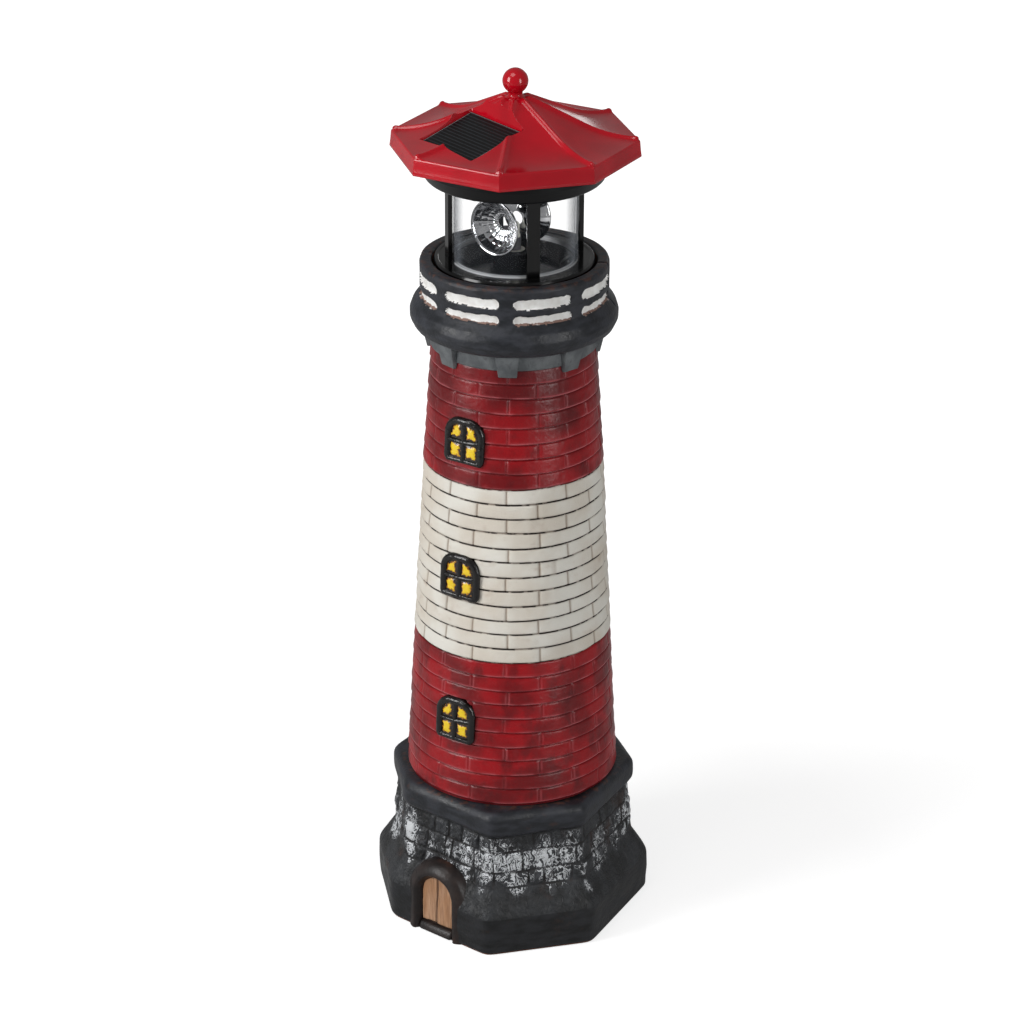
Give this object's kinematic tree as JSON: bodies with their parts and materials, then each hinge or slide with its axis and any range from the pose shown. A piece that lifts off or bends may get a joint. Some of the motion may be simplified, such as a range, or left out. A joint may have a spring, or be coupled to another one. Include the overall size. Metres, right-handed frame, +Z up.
{
  "type": "garden lighthouse ornament with solar beacon",
  "caption": "Ceramic lighthouse with an octagonal base and a round banded tower, holding a lift-out solar lamp head whose reflectors turn.",
  "frame": {"origin": "centre of the base's underside, on the ground", "axes": "+Z up the tower, door and windows face -Y"},
  "size_m": [0.1394, 0.1395, 0.459],
  "materials": {
    "painted_ceramic": "fired, painted and part glazed",
    "red_moulding": "gloss red",
    "solar_cells": "dark cells under a clear face",
    "black_moulding": "satin black",
    "steel": "zinc plated",
    "clear_acrylic": "clear",
    "white_moulding": "natural white",
    "led_epoxy": "water clear",
    "mirror_coat": "metal coated, faceted",
    "motor_case": "plain",
    "cell_jacket": "printed sleeve, no words",
    "board_laminate": "green mask",
    "component_black": "matt"
  },
  "bodies": {
    "tower": {"tower_casting": "painted_ceramic"},
    "lamp_head": {"roof_cap": "red_moulding", "finial": "red_moulding", "solar_panel": "solar_cells", "roof_dish": "black_moulding", "roof_screws": "steel", "lantern_deck": "black_moulding", "clear_tube": "clear_acrylic", "led_stem": "white_moulding", "led": "led_epoxy", "gear_motor": "motor_case", "motor_screws": "steel", "base_housing": "black_moulding", "housing_screws": "steel", "battery": "cell_jacket", "contact_plate": "steel", "contact_spring": "steel", "circuit_board": "board_laminate", "board_parts": "component_black", "board_screws": "steel", "switch_body": "component_black"},
    "rotor": {"rotor_gear": "white_moulding", "reflector_yoke": "black_moulding", "reflector_front": "mirror_coat", "reflector_rear": "mirror_coat"},
    "pinion": {"drive_pinion": "white_moulding", "motor_shaft": "steel"},
    "battery_flap": {"battery_door": "black_moulding"},
    "switch": {"switch_knob": "black_moulding"}
  },
  "joints": [
    {"name": "head_lift", "type": "slide", "parent": "tower", "child": "lamp_head", "axis": [0, 0, 1], "range_m": [0, 0.04]},
    {"name": "beacon_spin", "type": "hinge", "parent": "lamp_head", "child": "rotor", "pos_m": [0, 0, 0.348], "axis": [0, 0, 1], "continuous": true},
    {"name": "pinion_spin", "type": "hinge", "parent": "lamp_head", "child": "pinion", "pos_m": [0.018, 0.00132, 0.348], "axis": [0, 0, 1], "continuous": true},
    {"name": "battery_door_swing", "type": "hinge", "parent": "lamp_head", "child": "battery_flap", "pos_m": [-0.02404, -0.00177, 0.3322], "axis": [-0.0732, 0.9973, 0], "range_deg": [0, 90]},
    {"name": "switch_slide", "type": "slide", "parent": "lamp_head", "child": "switch", "axis": [0.9973, 0.0732, 0], "range_m": [0, 0.0025]}
  ],
  "couplings": [
    {"joint": "pinion_spin", "follows": "beacon_spin", "ratio": -5}
  ]
}
